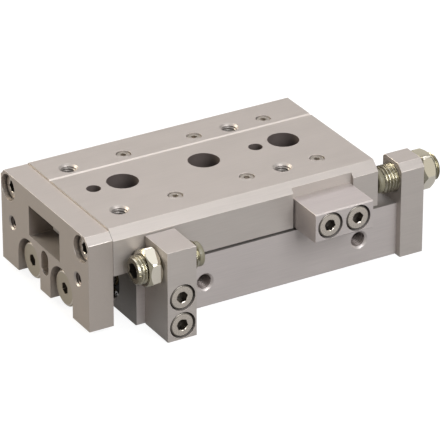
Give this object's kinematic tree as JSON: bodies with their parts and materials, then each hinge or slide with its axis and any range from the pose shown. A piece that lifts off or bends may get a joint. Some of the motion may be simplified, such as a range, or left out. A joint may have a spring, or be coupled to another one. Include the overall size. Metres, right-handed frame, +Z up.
{
  "type": "pneumatic slide table",
  "caption": "Compact air slide table: twin-rod cylinder body, crossed-roller guide, sliding table with end plate, and side-mounted stroke adjusters.",
  "frame": {"origin": "middle of the body's flat bottom face, where the slide rests on its machine", "axes": "+X along the travel, pointing away from the end plate, so the table extends towards -X; +Y away from the side with the ports and adjusters; +Z up out of the table's top"},
  "size_m": [0.1083, 0.0622, 0.0295],
  "materials": {
    "anodised": "clear anodised, fine matt blast",
    "bright_steel": "bright nickel plated",
    "screw_steel": "plain stainless",
    "ground_steel": "hardened and ground",
    "chromed_rod": "hard chrome, polished",
    "cage_brass": "stamped sheet, satin",
    "cover_brass": "turned",
    "seal_rubber": "nitrile rubber",
    "urethane": "pale cast polyurethane",
    "magnet": "sintered ring magnet, bare"
  },
  "bodies": {
    "housing": {"body_block": "anodised", "rod_covers": "cover_brass", "rod_seals": "seal_rubber", "cover_o_rings": "seal_rubber", "snap_rings": "ground_steel", "head_caps": "anodised", "head_cap_o_rings": "seal_rubber", "guide_block": "ground_steel", "guide_screws": "screw_steel", "guide_end_plates": "screw_steel", "guide_end_screws": "screw_steel", "front_adjuster_bracket": "anodised", "front_bracket_screws": "screw_steel", "front_lock_nut": "bright_steel", "rear_adjuster_bracket": "anodised", "rear_bracket_screws": "screw_steel", "rear_lock_nut": "bright_steel"},
    "table_slide": {"table": "anodised", "end_plate": "anodised", "plate_screws": "screw_steel", "stopper_block": "anodised", "stopper_screws": "screw_steel", "table_rails": "ground_steel", "rail_screws": "screw_steel", "rail_end_stops": "screw_steel", "rod_end_bolts": "bright_steel", "rod_collars": "screw_steel", "piston_rods": "chromed_rod", "pistons": "anodised", "piston_seals": "seal_rubber", "piston_magnets": "magnet", "piston_bumpers": "seal_rubber"},
    "cage_pair": {"roller_cages": "cage_brass", "crossed_rollers": "ground_steel"},
    "front_adjuster": {"front_adjuster_bolt": "bright_steel", "front_bumper": "urethane"},
    "rear_adjuster": {"rear_adjuster_bolt": "bright_steel", "rear_bumper": "urethane"}
  },
  "joints": [
    {"name": "table_travel", "type": "slide", "parent": "housing", "child": "table_slide", "axis": [-1, 0, 0], "range_m": [0, 0.032]},
    {"name": "cage_travel", "type": "slide", "parent": "housing", "child": "cage_pair", "axis": [-1, 0, 0], "range_m": [0, 0.016]},
    {"name": "front_adjuster_screw", "type": "slide", "parent": "housing", "child": "front_adjuster", "axis": [-1, 0, 0], "range_m": [0, 0.0035]},
    {"name": "rear_adjuster_screw", "type": "slide", "parent": "housing", "child": "rear_adjuster", "axis": [1, 0, 0], "range_m": [0, 0.005]}
  ],
  "couplings": [
    {"joint": "cage_travel", "follows": "table_travel", "ratio": 0.5}
  ]
}
